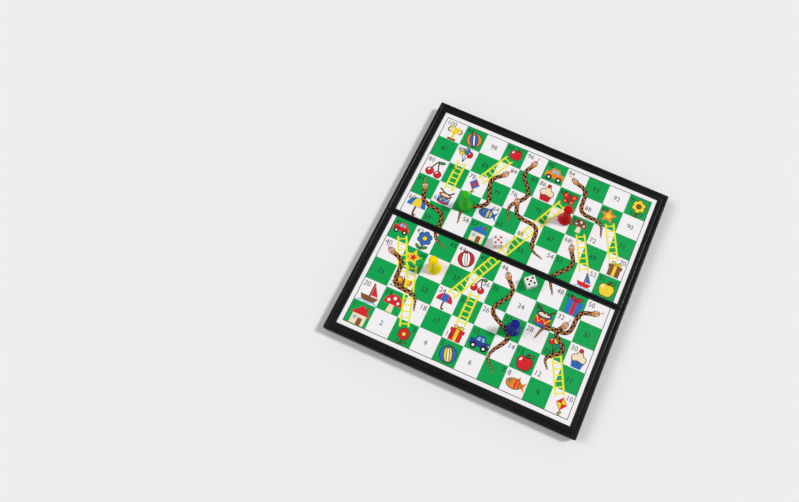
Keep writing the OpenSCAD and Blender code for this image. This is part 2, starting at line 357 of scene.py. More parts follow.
class Pictures:
    """Plain toys, treats and garden things, drawn about the middle of a square in shares of it."""

    @staticmethod
    def apple(skin: Ink) -> Picture:
        """Draws an apple with its stalk and leaf.

        Args:
            skin: The apple's colour.

        Returns:
            The picture.
        """
        cheeks = [(side * x, y) for side in (-1, 1) for x, y in ((0.11, -0.02), (0.07, -0.13))]
        return (
            Blob(Ink.BROWN, [line([(0, 0.08), (0.02, 0.22), (0.07, 0.31)], 0.07, 0.08)]),
            Blob(Ink.LEAF, [Disc(0.17, 0.25, 0.065, 1.9, 20)]),
            Blob(skin, [Disc(x, y, 0.2) for x, y in cheeks]),
            Blob(Ink.WHITE, [Disc(-0.17, 0.04, 0.04, 1.7, 60)], 0),
        )

    @staticmethod
    def ball(first: Ink, second: Ink) -> Picture:
        """Draws a striped ball.

        Args:
            first: The ball's colour.
            second: The stripe's colour.

        Returns:
            The picture.
        """
        return (
            Blob(first, [Disc(0, 0, 0.32)]),
            Blob(second, [Disc(0, 0, 0.31, 0.55, 20)]),
            Blob(Ink.WHITE, [Disc(0, 0, 0.29, 0.2, 20)]),
            Blob(first, [Disc(-0.1, 0.26, 0.07)]),
        )

    @staticmethod
    def star(face: Ink, heart: Ink) -> Picture:
        """Draws a star with a smaller one inside.

        Args:
            face: The star's colour.
            heart: The smaller star's colour.

        Returns:
            The picture.
        """
        reaches = (1.0, 0.48)

        def tips(outer: float) -> list[Point]:
            """Finds the corners of a star of the given reach."""
            corners = [(outer * reaches[i % 2], math.pi / 2 + math.pi * i / 5) for i in range(10)]
            return [(reach * math.cos(turn), reach * math.sin(turn) - 0.03) for reach, turn in corners]

        return (
            Blob(face, [Patch(tips(0.4), 0.03)]),
            Blob(heart, [Patch(tips(0.19), 0.01)], 0),
        )

    @staticmethod
    def flower(petal: Ink, heart: Ink) -> Picture:
        """Draws a flower on its stalk.

        Args:
            petal: The petals' colour.
            heart: The middle's colour.

        Returns:
            The picture.
        """
        turns = [math.radians(60 * i + 30) for i in range(6)]
        leaves = [Disc(0.13, -0.25, 0.065, 2.0, 35), Disc(-0.12, -0.28, 0.065, 2.0, 145)]
        return (
            Blob(Ink.LEAF, [line([(0, -0.38), (0.02, -0.2), (0, 0)], 0.08, 0.07), *leaves]),
            Blob(petal, [Disc(0.17 * math.cos(t), 0.1 + 0.17 * math.sin(t), 0.12) for t in turns]),
            Blob(heart, [Disc(0, 0.1, 0.11)]),
        )

    @staticmethod
    def kite(first: Ink, second: Ink) -> Picture:
        """Draws a kite with a tail.

        Args:
            first: The kite's colour.
            second: The other colour, on two quarters.

        Returns:
            The picture.
        """
        tail = [(0, -0.16), (0.08, -0.24), (-0.04, -0.31), (0.08, -0.39)]
        return (
            Blob(Ink.BLACK, [line(tail, 0.035, 0.03)], 0),
            Blob(Ink.YELLOW, [Disc(0.06, -0.25, 0.05, 1.4), Disc(0, -0.33, 0.05, 1.4)]),
            Blob(first, [Patch([(0, 0.4), (0.26, 0.12), (0, -0.2), (-0.26, 0.12)])]),
            Blob(second, [Patch([(0, 0.36), (0.22, 0.12), (0, 0.12)])], 0),
            Blob(second, [Patch([(0, -0.16), (-0.22, 0.12), (0, 0.12)])], 0),
        )

    @staticmethod
    def balloons(first: Ink, second: Ink, third: Ink) -> Picture:
        """Draws three balloons on their strings.

        Args:
            first: The left balloon's colour.
            second: The right one's.
            third: The middle one's.

        Returns:
            The picture.
        """
        places = ((-0.19, 0.08, first), (0.19, 0.06, second), (0, 0.2, third))
        strings = [line([(0, -0.4), (0.4 * x, -0.2), (x, y)], 0.03, 0.03) for x, y, ink in places]
        bags = [Blob(ink, [Disc(x, y, 0.15, 1.2, 90)]) for x, y, ink in places]
        shines = [Disc(x - 0.05, y + 0.06, 0.025, 1.6, 60) for x, y, ink in places]
        return (Blob(Ink.BLACK, strings, 0), *bags, Blob(Ink.WHITE, shines, 0))

    @staticmethod
    def mushroom(cap: Ink) -> Picture:
        """Draws a mushroom with a dotted cap.

        Args:
            cap: The cap's colour.

        Returns:
            The picture.
        """
        stalk = Patch([(-0.12, -0.36), (0.12, -0.36), (0.08, 0), (-0.08, 0)], 0.03)
        return (
            Blob(Ink.CREAM, [stalk]),
            Blob(cap, [Patch(arc(0, -0.06, 0.35, 0, 180, 1.1))]),
            Blob(Ink.WHITE, [Disc(-0.18, 0.07, 0.055), Disc(0.02, 0.19, 0.06), Disc(0.19, 0.05, 0.05)], 0),
        )

    @staticmethod
    def boat(hull: Ink, sail: Ink) -> Picture:
        """Draws a small boat under sail.

        Args:
            hull: The hull's colour.
            sail: The larger sail's colour.

        Returns:
            The picture.
        """
        wave = [(-0.38, -0.36), (-0.19, -0.31), (0, -0.37), (0.19, -0.31), (0.38, -0.36)]
        return (
            Blob(Ink.BROWN, [box(-0.035, -0.14, 0.035, 0.4)]),
            Blob(sail, [Patch([(0.04, -0.06), (0.3, -0.06), (0.04, 0.36)])]),
            Blob(Ink.WHITE, [Patch([(-0.04, -0.06), (-0.04, 0.28), (-0.27, -0.06)])]),
            Blob(hull, [Patch([(-0.35, -0.1), (0.35, -0.1), (0.23, -0.31), (-0.23, -0.31)], 0.03)]),
            Blob(Ink.SKY, [line(wave, 0.05, 0.05)], 0),
        )

    @staticmethod
    def umbrella(first: Ink, second: Ink) -> Picture:
        """Draws an open umbrella.

        Args:
            first: The outer panels' colour.
            second: The middle panel's colour.

        Returns:
            The picture.
        """
        handle = [(0, 0.02), (0, -0.26), (0.05, -0.35), (0.12, -0.3)]
        return (
            Blob(Ink.BROWN, [line(handle, 0.07, 0.07)]),
            Blob(first, [Patch(arc(0, 0, 0.38, 0, 180))]),
            Blob(second, [Patch(arc(0, 0.01, 0.18, 0, 180, 2.0))]),
        )

    @staticmethod
    def butterfly(wing: Ink, spot: Ink) -> Picture:
        """Draws a butterfly with spread wings.

        Args:
            wing: The wings' colour.
            spot: Their spots' colour.

        Returns:
            The picture.
        """
        sides = (-1, 1)
        feelers = [line([(0, 0.12), (0.05 * s, 0.27), (0.12 * s, 0.34)], 0.035, 0.03) for s in sides]
        return (
            Blob(Ink.BLACK, feelers, 0),
            Blob(wing, [Disc(0.19 * s, 0.1, 0.16, 1.2, 40 * s) for s in sides]),
            Blob(wing, [Disc(0.15 * s, -0.16, 0.13) for s in sides]),
            Blob(spot, [Disc(x * s, y, 0.06) for s in sides for x, y in ((0.21, 0.12), (0.16, -0.17))], 0),
            Blob(Ink.BROWN, [Disc(0, -0.02, 0.055, 4.4, 90)]),
        )

    @staticmethod
    def fish(body: Ink, stripe: Ink) -> Picture:
        """Draws a striped fish.

        Args:
            body: The body's colour.
            stripe: The stripes' colour.

        Returns:
            The picture.
        """
        return (
            Blob(body, [Patch([(0.14, 0), (0.38, 0.2), (0.31, 0), (0.38, -0.2)], 0.02)]),
            Blob(body, [Patch([(-0.1, 0.1), (0.1, 0.3), (0.14, 0.08)], 0.02)]),
            Blob(body, [Disc(-0.06, 0, 0.2, 1.5)]),
            Blob(stripe, [Disc(0.0, 0, 0.17, 0.22), Disc(0.12, 0, 0.13, 0.22)], 0),
            Blob(Ink.WHITE, [Disc(-0.21, 0.05, 0.06)]),
            Blob(Ink.BLACK, [Disc(-0.22, 0.05, 0.025)], 0),
        )

    @staticmethod
    def house(wall: Ink, roof: Ink) -> Picture:
        """Draws a small house.

        Args:
            wall: The walls' colour.
            roof: The roof's colour.

        Returns:
            The picture.
        """
        return (
            Blob(Ink.BROWN, [box(0.12, 0.12, 0.22, 0.36)]),
            Blob(wall, [box(-0.27, -0.36, 0.27, 0.06)]),
            Blob(roof, [Patch([(-0.38, 0.02), (0.38, 0.02), (0, 0.37)], 0.02)]),
            Blob(Ink.BROWN, [box(-0.02, -0.36, 0.15, -0.1)]),
            Blob(Ink.SKY, [box(-0.21, -0.18, -0.08, -0.05)]),
        )

    @staticmethod
    def car(paint: Ink) -> Picture:
        """Draws a toy car.

        Args:
            paint: The car's colour.

        Returns:
            The picture.
        """
        cabin = Patch([(-0.24, -0.04), (0.24, -0.04), (0.13, 0.22), (-0.15, 0.22)], 0.04)
        panes = [
            Patch([(-0.16, 0.02), (-0.02, 0.02), (-0.02, 0.16), (-0.11, 0.16)]),
            Patch([(0.03, 0.02), (0.16, 0.02), (0.1, 0.16), (0.03, 0.16)]),
        ]
        return (
            Blob(paint, [box(-0.38, -0.2, 0.38, 0.05, 0.07), cabin]),
            Blob(Ink.SKY, panes, 0),
            Blob(Ink.BLACK, [Disc(x, -0.2, 0.12) for x in (-0.2, 0.2)], 0),
            Blob(Ink.WHITE, [Disc(x, -0.2, 0.05) for x in (-0.2, 0.2)], 0),
            Blob(Ink.YELLOW, [Disc(0.34, -0.05, 0.045)], 0.015),
        )

    @staticmethod
    def cupcake(cup: Ink, icing: Ink) -> Picture:
        """Draws a small cake in a paper cup.

        Args:
            cup: The cup's colour.
            icing: The icing's colour.

        Returns:
            The picture.
        """
        tiers = [Disc(-0.15, 0, 0.14), Disc(0.15, 0, 0.14), Disc(0, 0.06, 0.17), Disc(0, 0.18, 0.12)]
        pleats = [line([(x, -0.34), (1.4 * x, -0.06)], 0.02, 0.02) for x in (-0.09, 0, 0.09)]
        return (
            Blob(cup, [Patch([(-0.18, -0.36), (0.18, -0.36), (0.26, -0.04), (-0.26, -0.04)])]),
            Blob(Ink.OUTLINE, pleats, 0),
            Blob(icing, tiers),
            Blob(Ink.RED, [Disc(0, 0.3, 0.085)]),
        )

    @staticmethod
    def gift(paper: Ink, ribbon: Ink) -> Picture:
        """Draws a wrapped box with a bow.

        Args:
            paper: The paper's colour.
            ribbon: The ribbon's colour.

        Returns:
            The picture.
        """
        loops = [Disc(0.12 * s, 0.27, 0.085, 1.5, 25 * s) for s in (-1, 1)]
        return (
            Blob(paper, [box(-0.28, -0.36, 0.28, 0.1)]),
            Blob(paper, [box(-0.33, 0.04, 0.33, 0.2)]),
            Blob(ribbon, [box(-0.07, -0.35, 0.07, 0.19)]),
            Blob(ribbon, loops),
            Blob(ribbon, [Disc(0, 0.24, 0.07)]),
        )

    @staticmethod
    def drum(shell: Ink, hoop: Ink) -> Picture:
        """Draws a toy drum and its sticks.

        Args:
            shell: The shell's colour.
            hoop: The hoops' colour.

        Returns:
            The picture.
        """
        cords = [(-0.26, 0.02), (-0.13, -0.2), (0, 0.0), (0.13, -0.2), (0.26, 0.02)]
        sticks = [[(-0.36, 0.36), (0.02, 0.16)], [(0.36, 0.36), (0.1, 0.14)]]
        return (
            Blob(hoop, [Disc(0, -0.24, 0.12, 2.5)]),
            Blob(shell, [box(-0.29, -0.25, 0.29, 0.1)]),
            Blob(Ink.YELLOW, [Band([Vector(p) for p in cords], [0.045] * len(cords))], 0),
            Blob(hoop, [Disc(0, 0.1, 0.13, 2.4)]),
            Blob(Ink.CREAM, [Disc(0, 0.11, 0.1, 2.5)]),
            Blob(Ink.BROWN, [line(stick, 0.07, 0.07) for stick in sticks]),
        )

    @staticmethod
    def cherries() -> Picture:
        """Draws two cherries on one stalk.

        Returns:
            The picture.
        """
        stalks = [line([(0.04, 0.33), (x / 2, 0.14), (x, -0.1)], 0.06, 0.05) for x in (-0.15, 0.17)]
        return (
            Blob(Ink.BROWN, stalks, 0.018),
            Blob(Ink.LEAF, [Disc(0.17, 0.3, 0.07, 2.0, 15)]),
            Blob(Ink.RED, [Disc(-0.16, -0.17, 0.17)]),
            Blob(Ink.RED, [Disc(0.18, -0.21, 0.16)]),
            Blob(Ink.WHITE, [Disc(-0.21, -0.1, 0.035, 1.6, 60), Disc(0.13, -0.14, 0.03, 1.6, 60)], 0),
        )

    @staticmethod
    def prize(metal: Ink) -> Picture:
        """Draws a prize cup with two handles.

        Args:
            metal: The cup's colour.

        Returns:
            The picture.
        """
        starts = {-1: 80, 1: -100}
        rings = [line(arc(0.22 * s, 0.17, 0.12, a, a + 200), 0.07, 0.07) for s, a in starts.items()]
        bowl = Patch(arc(0, 0.34, 0.25, 180, 360, 1.5))
        return (
            Blob(metal, rings),
            Blob(Ink.BROWN, [box(-0.2, -0.38, 0.2, -0.26, 0.02)]),
            Blob(metal, [box(-0.06, -0.28, 0.06, 0.02)]),
            Blob(metal, [bowl]),
            Blob(Ink.WHITE, [Disc(-0.12, 0.2, 0.03, 3.0, 80)], 0),
        )


def pictured_squares() -> dict[int, Picture]:
    """Says which squares carry a picture, and which one.

    Returns:
        Each picture under its square's number.
    """
    draw = Pictures
    return {
        1: draw.house(Ink.CREAM, Ink.RED), 3: draw.flower(Ink.RED, Ink.YELLOW),
        5: draw.ball(Ink.BLUE, Ink.YELLOW), 8: draw.fish(Ink.ORANGE, Ink.RED),
        10: draw.kite(Ink.RED, Ink.YELLOW), 13: draw.apple(Ink.RED),
        15: draw.car(Ink.NAVY), 16: draw.gift(Ink.RED, Ink.YELLOW),
        19: draw.mushroom(Ink.RED), 20: draw.boat(Ink.BROWN, Ink.RED),
        22: draw.butterfly(Ink.ORANGE, Ink.YELLOW), 24: draw.umbrella(Ink.RED, Ink.BLUE),
        29: draw.balloons(Ink.RED, Ink.BLUE, Ink.YELLOW), 30: draw.cupcake(Ink.BLUE, Ink.CREAM),
        33: draw.drum(Ink.RED, Ink.BLUE), 36: draw.cherries(),
        39: draw.star(Ink.YELLOW, Ink.RED), 41: draw.car(Ink.RED),
        42: draw.flower(Ink.BLUE, Ink.YELLOW), 44: draw.ball(Ink.RED, Ink.WHITE),
        49: draw.gift(Ink.BLUE, Ink.RED), 51: draw.apple(Ink.YELLOW),
        52: draw.boat(Ink.RED, Ink.BLUE), 57: draw.house(Ink.CREAM, Ink.BLUE),
        60: draw.umbrella(Ink.BLUE, Ink.YELLOW), 62: draw.drum(Ink.BLUE, Ink.RED),
        64: draw.fish(Ink.BLUE, Ink.YELLOW), 70: draw.gift(Ink.BROWN, Ink.YELLOW),
        73: draw.mushroom(Ink.BROWN), 78: draw.kite(Ink.BLUE, Ink.RED),
        80: draw.cherries(), 82: draw.balloons(Ink.YELLOW, Ink.RED, Ink.BLUE),
        86: draw.cupcake(Ink.RED, Ink.CREAM), 87: draw.butterfly(Ink.RED, Ink.ORANGE),
        89: draw.star(Ink.ORANGE, Ink.YELLOW), 91: draw.flower(Ink.YELLOW, Ink.BROWN),
        95: draw.car(Ink.ORANGE), 97: draw.apple(Ink.RED),
        99: draw.ball(Ink.ORANGE, Ink.BLUE), 100: draw.prize(Ink.YELLOW),
    }


@dataclass
class PrintedSheet:
    """One half's sheet: a thin slab whose top is cut along every edge of its print.

    Edges that bend less than the angle called straight, in degrees, are joined. Faces whose normals
    rise more than the share called upward carry ink.
    """

    half: Half
    straight: float = 0.05
    merge: float = 5 * MICRON
    upward: float = 0.5

    def __post_init__(self) -> None:
        """Starts with bare paper."""
        self.low, self.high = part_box(self.half.sheet_node)
        self.level = 0.0
        self.corners: list[Vector] = []
        self.faces: list[list[int]] = []
        self.inks: list[Ink] = []
        paper = bmesh.new()
        box(self.low.x, self.low.y, self.high.x, self.high.y).draw(paper, 0)
        self.press(paper, Ink.PAPER)

    def press(self, flat: bmesh.types.BMesh, ink: Ink) -> None:
        """Prints flat faces over what is there, trimmed at the sheet's edge along the fold.

        Args:
            flat: A mesh of flat faces, which is used up.
            ink: The ink that they are printed in.
        """
        edge = self.low.y if self.half is Half.FAR else self.high.y
        bmesh.ops.bisect_plane(
            flat, geom=flat.verts[:] + flat.edges[:] + flat.faces[:], plane_co=(0, edge, 0),
            plane_no=(0, -self.half.value, 0), clear_outer=True,
        )
        first = len(self.corners)
        self.level += MM
        flat.verts.index_update()
        self.corners += [Vector((*vert.co.to_2d(), self.level)) for vert in flat.verts]
        self.faces += [[first + vert.index for vert in face.verts] for face in flat.faces]
        self.inks += [ink] * len(flat.faces)
        flat.free()

    def lay(self, blobs: Sequence[Blob], place: Matrix) -> None:
        """Prints blobs one over another, each with its outline under it.

        Args:
            blobs: What is printed, the lowest first.
            place: Puts the blobs on the board.
        """
        for blob in blobs:
            coats = [(blob.rim_ink, 0.0), (blob.ink, blob.rim)] if blob.rim else [(blob.ink, 0.0)]
            for ink, trim in coats:
                for part in blob.parts:
                    flat = bmesh.new()
                    part.draw(flat, trim)
                    flat.transform(place)
                    self.press(flat, ink)

    def cut(self) -> bmesh.types.BMesh:
        """Cuts the sheet's top into faces of one ink each, the one that a look straight down finds first.

        Returns:
            The top, with the number of each face's ink as its material.
        """
        flat = [corner.to_2d() for corner in self.corners]
        corners, _, faces, *_ = delaunay_2d_cdt(flat, [], self.faces, 1, MICRON)
        stack = BVHTree.FromPolygons(self.corners, self.faces)
        numbers = {ink: number for number, ink in enumerate(Ink)}
        top = bmesh.new()
        verts = [top.verts.new((*corner, self.high.z)) for corner in corners]
        for loop in faces:
            face = top.faces.new([verts[i] for i in loop])
            middle = face.calc_center_median()
            _, _, printed, _ = stack.ray_cast((middle.x, middle.y, self.level + MM), (0, 0, -1))
            face.material_index = numbers[self.inks[printed or 0]]
        bmesh.ops.dissolve_limit(
            top, angle_limit=math.radians(self.straight), verts=top.verts[:], edges=top.edges[:],
            delimit={"MATERIAL"},
        )
        bmesh.ops.remove_doubles(top, verts=top.verts[:], dist=self.merge)
        return top

    def finish(self, material: bpy.types.Material) -> None:
        """Gives the sheet its thickness and its inks, and puts it in the place of its solid.

        Args:
            material: The finish of the printed sheet.
        """
        mesh = self.cut()
        rim = [edge for edge in mesh.edges if edge.is_boundary]
        grown = bmesh.ops.extrude_edge_only(mesh, edges=rim)["geom"]
        lower = [item for item in grown if isinstance(item, bmesh.types.BMVert)]
        bmesh.ops.translate(mesh, verts=lower, vec=(0, 0, self.low.z - self.high.z))
        bottom = [edge for edge in mesh.edges if edge.is_boundary]
        bmesh.ops.edgeloop_fill(mesh, edges=bottom)
        bmesh.ops.recalc_face_normals(mesh, faces=mesh.faces[:])
        inks = list(Ink)
        layer = mesh.loops.layers.float_color.new(INK_LAYER)
        for face in mesh.faces:
            ink = inks[face.material_index] if face.normal.z > self.upward else Ink.PAPER
            face.material_index = 0
            for corner in face.loops:
                corner[layer] = ink.rgba
        piece = add_object(f"{self.half.label}_printed_sheet", mesh, material)
        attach(piece, self.half.body)
        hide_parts(self.half.sheet_node)


@dataclass(frozen=True)
class Ladder:
    """A ladder between two numbered squares."""

    foot: int
    top: int
    width: float = 7.6 * MM
    rail: float = 1.7 * MM
    rung: float = 1.2 * MM
    pitch: float = 5.6 * MM
    fewest_rungs: int = 2
    short_of_middle: float = 0.26
    edge: float = 0.18 * MM
    steps: int = 60

    @property
    def ends(self) -> tuple[int, int]:
        """The squares that it joins."""
        return self.foot, self.top

    def path(self, board: Board) -> list[Vector]:
        """Finds the ladder's middle line, which stops short of the middle of its end squares.

        Args:
            board: The grid that it stands on.

        Returns:
            Points along the line, from its foot to its top.
        """
        foot = board.spot(*board.square(self.foot))
        top = board.spot(*board.square(self.top))
        short = self.short_of_middle * board.cell / (top - foot).length
        shares = [short + (1 - 2 * short) * i / self.steps for i in range(self.steps + 1)]
        return [foot.lerp(top, share) for share in shares]

    def blobs(self, board: Board) -> tuple[Matrix, list[Blob]]:
        """Draws the ladder along its own length.

        Args:
            board: The grid that it stands on.

        Returns:
            What puts it on the board, and its rungs and rails.
        """
        foot, *_, top = self.path(board)
        along = top - foot
        length = along.length
        count = max(self.fewest_rungs, round(length / self.pitch))
        half = self.width / 2
        rungs = [
            box(spot - self.rung / 2, -half, spot + self.rung / 2, half)
            for spot in ((i + 0.5) * length / count for i in range(count))
        ]
        rails = [box(0, side - self.rail / 2, length, side + self.rail / 2) for side in (-half, half)]
        turn = Matrix.Rotation(math.atan2(along.y, along.x), 4, "Z")
        place = Matrix.Translation(foot.to_3d()) @ turn
        return place, [Blob(Ink.LADDER, [*rungs, *rails], self.edge, Ink.LADDER_EDGE)]


@dataclass(frozen=True)
class Snake:
    """A snake from its head's square to its tail's, winding about the straight way."""

    head: int
    tail: int
    waves: float
    swing: float
    width: float = 4.1 * MM
    edge: float = 0.5 * MM
    tail_share: float = 0.3
    swell: float = 2.2
    back_share: float = 0.5
    blotch_pitch: float = 2.9 * MM
    blotch_share: float = 0.22
    blotch_stretch: float = 1.9
    blotch_aside: float = 0.14
    blotch_turn: float = 25.0
    blotch_segments: int = 12
    head_share: float = 0.72
    head_stretch: float = 1.4
    head_steps: int = 3
    eye_share: float = 0.22
    eye_place: Point = (0.25, 0.38)
    eye_segments: int = 12
    pupil_share: float = 0.12
    pupil_segments: int = 10
    tongue_width: float = 0.5 * MM
    tongue_shares: tuple[float, float, float] = (1.0, 1.6, 1.95)
    tongue_fork: float = 0.25
    steps: int = 90

    @property
    def ends(self) -> tuple[int, int]:
        """The squares that it joins."""
        return self.head, self.tail

    def path(self, board: Board) -> list[Vector]:
        """Finds the snake's middle line, from the tail to the head.

        Args:
            board: The grid that it lies on.

        Returns:
            Points along the line.
        """
        start = board.spot(*board.square(self.tail))
        end = board.spot(*board.square(self.head))
        across = Vector((start.y - end.y, end.x - start.x)).normalized()
        points = []
        for i in range(self.steps + 1):
            share = i / self.steps
            calm = math.sin(math.pi * share) ** 0.5
            sway = self.swing * board.cell * calm * math.sin(2 * math.pi * self.waves * share)
            points.append(start.lerp(end, share) + across * sway)
        return points

    def blobs(self, board: Board) -> list[Blob]:
        """Draws the body, its blotches, the head, the eyes and the tongue.

        Args:
            board: The grid that it lies on.

        Returns:
            The blobs, the lowest first.
        """
        path = self.path(board)
        swelling = [self.tail_share + self.swell * i / self.steps for i in range(len(path))]
        widths = [self.width * min(1.0, share) for share in swelling]
        end = path[-1]
        ahead = (end - path[-1 - self.head_steps]).normalized() * self.width
        aside = Vector((-ahead.y, ahead.x))
        turn = math.degrees(math.atan2(ahead.y, ahead.x))
        root, fork, tip = (end + ahead * share for share in self.tongue_shares)
        tips = [tip + aside * side * self.tongue_fork for side in (-1, 1)]
        tongue = [line([root, fork, point], self.tongue_width, self.tongue_width) for point in tips]
        eyes = [end + ahead * self.eye_place[0] + aside * side * self.eye_place[1] for side in (-1, 1)]
        head = Disc(end.x, end.y, self.head_share * self.width, self.head_stretch, turn)
        whites, pupils = (
            [Disc(eye.x, eye.y, share * self.width, segments=segments) for eye in eyes]
            for share, segments in (
                (self.eye_share, self.eye_segments), (self.pupil_share, self.pupil_segments),
            )
        )
        return [
            Blob(Ink.RED, tongue, 0),
            Blob(Ink.SNAKE_SHADE, [Band(path, widths)], self.edge, Ink.SNAKE_DARK),
            Blob(Ink.SNAKE, [Band(path, [self.back_share * w for w in widths])], 0),
            Blob(Ink.SNAKE_DARK, self.blotches(path, widths), 0),
            Blob(Ink.SNAKE, [head], self.edge, Ink.SNAKE_DARK),
            Blob(Ink.WHITE, whites, 0),
            Blob(Ink.BLACK, pupils, 0),
        ]

    def blotches(self, path: Sequence[Vector], widths: Sequence[float]) -> list[Disc]:
        """Spaces dark blotches along the back, to the left and right by turns.

        Args:
            path: The snake's middle line.
            widths: Its width at each point.

        Returns:
            The blotches.
        """
        found = []
        travelled = 0.0
        for i in range(1, len(path) - 1 - self.head_steps):
            step = path[i] - path[i - 1]
            travelled += step.length
            if travelled < self.blotch_pitch * (len(found) + 1):
                continue
            side = 1 if len(found) % 2 else -1
            aside = Vector((-step.y, step.x)).normalized() * widths[i]
            spot = path[i] + aside * side * self.blotch_aside
            turn = math.degrees(math.atan2(step.y, step.x)) + side * self.blotch_turn
            size = self.blotch_share * widths[i]
            found.append(Disc(spot.x, spot.y, size, self.blotch_stretch, turn, self.blotch_segments))
        return found


@dataclass
class PlaySheets:
    """Everything printed on the two sheets."""

    board: Board
    ladders: Sequence[Ladder] = (
        Ladder(3, 39), Ladder(10, 29), Ladder(22, 41), Ladder(16, 36), Ladder(24, 87),
        Ladder(52, 73), Ladder(62, 82), Ladder(78, 97), Ladder(70, 89),
    )
    snakes: Sequence[Snake] = (
        Snake(96, 65, 1.5, 0.3), Snake(94, 72, 1.5, -0.3), Snake(84, 58, 1.5, 0.34),
        Snake(76, 54, 1.5, 0.3), Snake(68, 48, 1.0, 0.34), Snake(61, 43, 1.5, 0.3),
        Snake(46, 7, 2.0, 0.42), Snake(32, 12, 1.5, 0.3), Snake(40, 18, 1.5, -0.3),
        Snake(50, 28, 1.5, 0.3),
    )
    line_width: float = 0.6 * MM
    number_size: float = 6.6 * MM
    number_room: float = 3.4 * MM
    digit_steps: int = 3
    corner_inset: float = 0.06
    corner_middle: float = 0.28
    picture_scale: float = 1.15
    picture_shift: Point = (0.04, -0.05)
    end_scale: float = 0.95
    end_shift: float = 0.13
    last_shift: Point = (0.07, -0.13)

    def __post_init__(self) -> None:
        """Notes where the ladders and snakes run, and half their widths."""
        drawn = (*self.ladders, *self.snakes)
        self.runs = [(point, item.width / 2) for item in drawn for point in item.path(self.board)]

    def build(self, half: Half, ink: bpy.types.Material) -> None:
        """Prints one half's sheet.

        Args:
            half: The half to print.
            ink: The finish of the printed sheet.
        """
        pictures = pictured_squares()
        ends = {n for item in (*self.ladders, *self.snakes) for n in item.ends}
        numbers = [n for n in range(1, self.board.count + 1) if self.board.half_of(n) is half]
        sheet = PrintedSheet(half)
        self.squares(sheet, numbers)
        self.lines(sheet)
        for number in numbers:
            if number in pictures:
                sheet.lay(pictures[number], self.picture_place(number))
        for ladder in self.ladders:
            place, blobs = ladder.blobs(self.board)
            sheet.lay(blobs, place)
        self.numbers(sheet, numbers, ends | set(pictures))
        for snake in self.snakes:
            sheet.lay(snake.blobs(self.board), Matrix.Identity(4))
        sheet.finish(ink)

    def picture_place(self, number: int) -> Matrix:
        """Puts a picture on its square, smaller and aside for a ladder's end or for the widest number.

        Args:
            number: The square's number.

        Returns:
            What moves and scales the picture.
        """
        spot = self.board.spot(*self.board.square(number))
        shift, scale = Vector(self.picture_shift), self.picture_scale
        if number == self.board.count:
            shift, scale = Vector(self.last_shift), self.end_scale
        for ladder in self.ladders:
            if number in ladder.ends:
                other = ladder.top if number == ladder.foot else ladder.foot
                away = spot - self.board.spot(*self.board.square(other))
                shift, scale = away.normalized() * self.end_shift, self.end_scale
        size = self.board.cell * scale
        middle = spot + shift * self.board.cell
        return Matrix.Translation(middle.to_3d()) @ Matrix.Diagonal((size, size, 1, 1))

    def squares(self, sheet: PrintedSheet, numbers: Sequence[int]) -> None:
        """Prints the green squares, every other one from the first.

        Args:
            sheet: The sheet to print.
            numbers: The numbers of its squares.
        """
        reach = self.board.cell / 2
        for number in numbers:
            u, v = self.board.square(number)
            if (int(u) + int(v)) % 2 == 0:
                place = Matrix.Translation(self.board.spot(u, v).to_3d())
                sheet.lay([Blob(Ink.GREEN, [box(-reach, -reach, reach, reach)], 0)], place)

    def lines(self, sheet: PrintedSheet) -> None:
        """Prints the thin line round the outside of the squares.

        Args:
            sheet: The sheet to print.
        """
        wide, thin, end = self.board.half_width, self.line_width / 2, sheet.half.value * self.board.far_end
        bars = [box(side * wide - thin, min(0, end), side * wide + thin, max(0, end)) for side in (-1, 1)]
        bars.append(box(-wide - thin, end - thin, wide + thin, end + thin))
        sheet.lay([Blob(Ink.BLACK, bars, 0)], Matrix.Identity(4))

    def number_corner(self, number: int, crowded: bool) -> tuple[int, int]:
        """Chooses a number's place: the middle of a free square, or a corner that nothing crosses.

        Args:
            number: The number.
            crowded: Whether its square holds something else too.

        Returns:
            The steps from the square's middle to that corner, across and up.
        """
        def room(corner: tuple[int, int]) -> float:
            """Measures how far the nearest ladder or snake is from a number there."""
            spot = self.board.spot(*(at + self.corner_middle * step for at, step in zip(square, corner)))
            return min((point - spot).length - half_width for point, half_width in self.runs)

        square = self.board.square(number)
        corners = [(-1, 1), (1, 1), (-1, -1), (1, -1)]
        choices = corners if crowded else [(0, 0), *corners]
        clear = [corner for corner in choices if room(corner) > self.number_room]
        return clear[0] if clear else max(corners, key=room)

    def numbers(self, sheet: PrintedSheet, numbers: Sequence[int], crowded: set[int]) -> None:
        """Prints the numbers, in the middle of a free square or in the corner of a crowded one.

        Args:
            sheet: The sheet to print.
            numbers: The numbers of its squares.
            crowded: The squares that hold something else too.
        """
        curve = bpy.data.curves.new("digits", "FONT")
        curve.size = self.number_size
        curve.resolution_u = self.digit_steps
        writer = bpy.data.objects.new("digits", curve)
        bpy.context.scene.collection.objects.link(writer)
        shift = 0.5 - self.corner_inset
        for number in numbers:
            across, up = self.number_corner(number, number in crowded)
            u, v = self.board.square(number)
            spot = self.board.spot(u + shift * across, v + shift * up)
            curve.body = str(number)
            curve.align_x = ("CENTER", "RIGHT", "LEFT")[across]
            curve.align_y = ("CENTER", "TOP", "BOTTOM")[up]
            shown = writer.evaluated_get(bpy.context.evaluated_depsgraph_get())
            flat = bmesh.new()
            flat.from_mesh(shown.to_mesh())
            shown.to_mesh_clear()
            bmesh.ops.remove_doubles(flat, verts=flat.verts[:], dist=MICRON)
            flat.transform(Matrix.Translation(spot.to_3d()))
            sheet.press(flat, Ink.BLACK)
        bpy.data.objects.remove(writer)
        bpy.data.curves.remove(curve)


